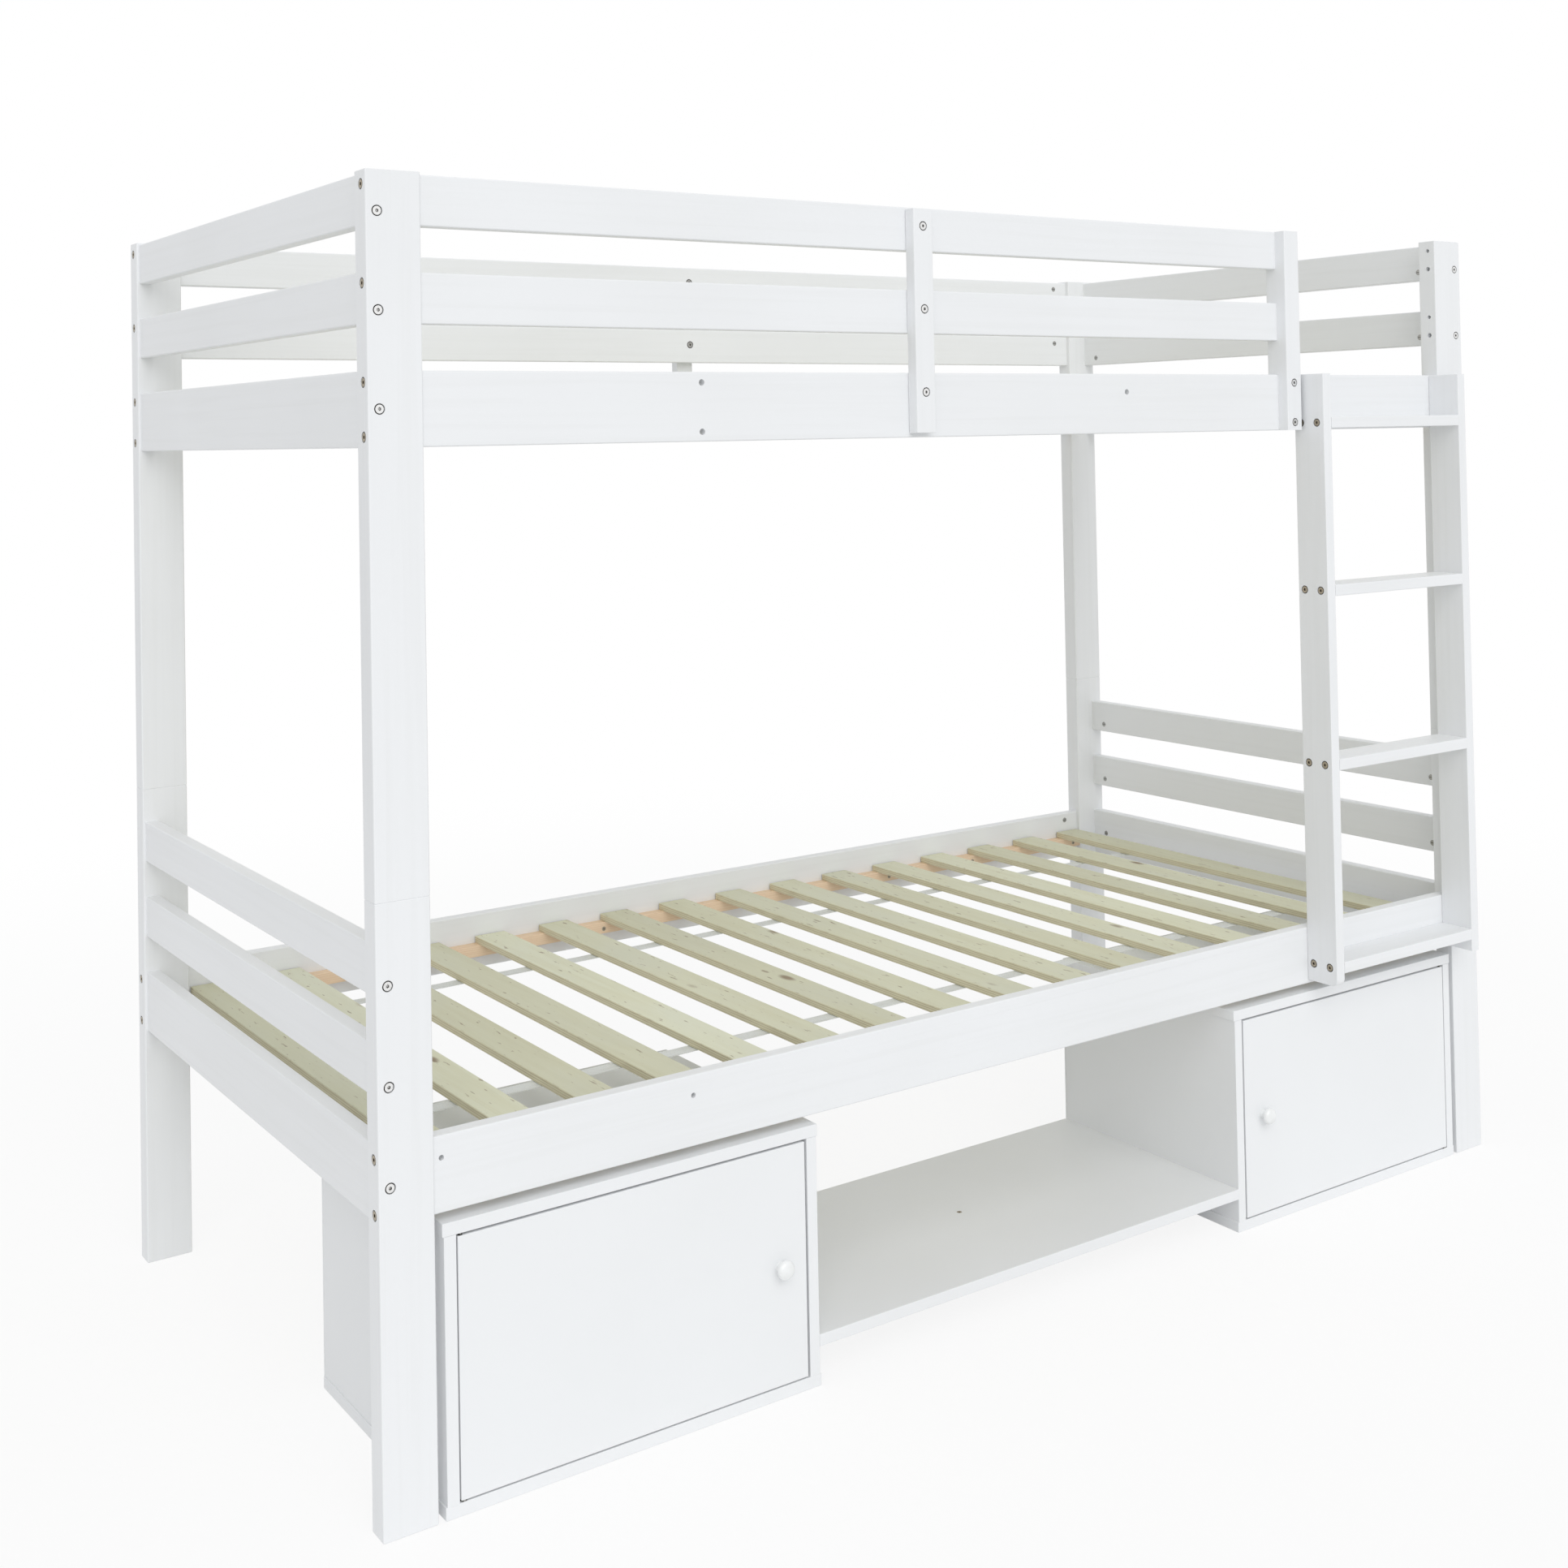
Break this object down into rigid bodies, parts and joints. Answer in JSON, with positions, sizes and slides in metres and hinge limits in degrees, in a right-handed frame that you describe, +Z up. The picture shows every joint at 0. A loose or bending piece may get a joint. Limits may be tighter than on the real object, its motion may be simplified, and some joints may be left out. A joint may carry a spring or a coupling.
{
  "type": "bunk bed",
  "caption": "Bunk bed with slatted bunks, rail guards, a fixed side ladder, and hinged-door cupboards joined by a low shelf under the lower bunk.",
  "frame": {"origin": "on the floor, under the middle of the overall box", "axes": "+X along the bed towards the ladder, +Y from the ladder side to the back, +Z up"},
  "size_m": [2.07, 1.0506, 1.607],
  "materials": {
    "painted_wood": "white satin paint on solid wood",
    "painted_board": "white satin paint on board",
    "slat_plywood": "raw plywood, sanded",
    "raw_pine": "raw planed pine",
    "beech": "raw beech",
    "nickel_steel": "nickel plated steel",
    "white_plastic": "glossy white",
    "catch_plastic": "matt white",
    "woven_tape": "woven ribbon"
  },
  "bodies": {
    "bed": {"post_front_left_lower": "painted_wood", "post_front_left_upper": "painted_wood", "post_front_right_lower": "painted_wood", "post_front_right_upper": "painted_wood", "side_rail_front_lower": "painted_wood", "side_rail_front_upper": "painted_wood", "guard_rail_front_middle": "painted_wood", "guard_rail_front_top": "painted_wood", "guard_upright_front": "painted_wood", "post_back_left_lower": "painted_wood", "post_back_left_upper": "painted_wood", "post_back_right_lower": "painted_wood", "post_back_right_upper": "painted_wood", "side_rail_back_lower": "painted_wood", "side_rail_back_upper": "painted_wood", "guard_rail_back_middle": "painted_wood", "guard_rail_back_top": "painted_wood", "guard_upright_back": "painted_wood", "end_rail_left_lower": "painted_wood", "end_guards_left_lower": "painted_wood", "end_rail_left_upper": "painted_wood", "end_guards_left_upper": "painted_wood", "ladder_stringer_left": "painted_wood", "left_cupboard_top": "painted_board", "left_cupboard_bottom": "painted_board", "left_cupboard_sides": "painted_board", "left_cupboard_back": "painted_board", "end_rail_right_lower": "painted_wood", "end_guards_right_lower": "painted_wood", "end_rail_right_upper": "painted_wood", "end_guards_right_upper": "painted_wood", "ladder_stringer_right": "painted_wood", "right_cupboard_top": "painted_board", "right_cupboard_bottom": "painted_board", "right_cupboard_sides": "painted_board", "right_cupboard_back": "painted_board", "ladder_opening_upright": "painted_wood", "ladder_treads": "painted_wood", "middle_shelf": "painted_board", "shelf_foot": "painted_wood", "slat_ledgers": "raw_pine", "slats_lower": "slat_plywood", "slats_upper": "slat_plywood", "slat_tapes": "woven_tape", "dowels": "beech", "door_catches": "catch_plastic", "long_bolts": "nickel_steel", "short_bolts": "nickel_steel", "upright_bolts": "nickel_steel", "tread_bolts": "nickel_steel", "frame_nuts": "nickel_steel", "post_pins": "nickel_steel", "wood_screws": "nickel_steel", "door_pivots": "nickel_steel"},
    "left_door_body": {"left_door": "painted_board", "left_knob": "white_plastic", "left_door_fittings": "nickel_steel"},
    "right_door_body": {"right_door": "painted_board", "right_knob": "white_plastic", "right_door_fittings": "nickel_steel"}
  },
  "joints": [
    {"name": "left_door_hinge", "type": "hinge", "parent": "bed", "child": "left_door_body", "pos_m": [-0.9315, -0.46425, 0], "axis": [0, 0, -1], "range_deg": [0, 105]},
    {"name": "right_door_hinge", "type": "hinge", "parent": "bed", "child": "right_door_body", "pos_m": [0.9315, -0.46425, 0], "axis": [0, 0, 1], "range_deg": [0, 105]}
  ]
}
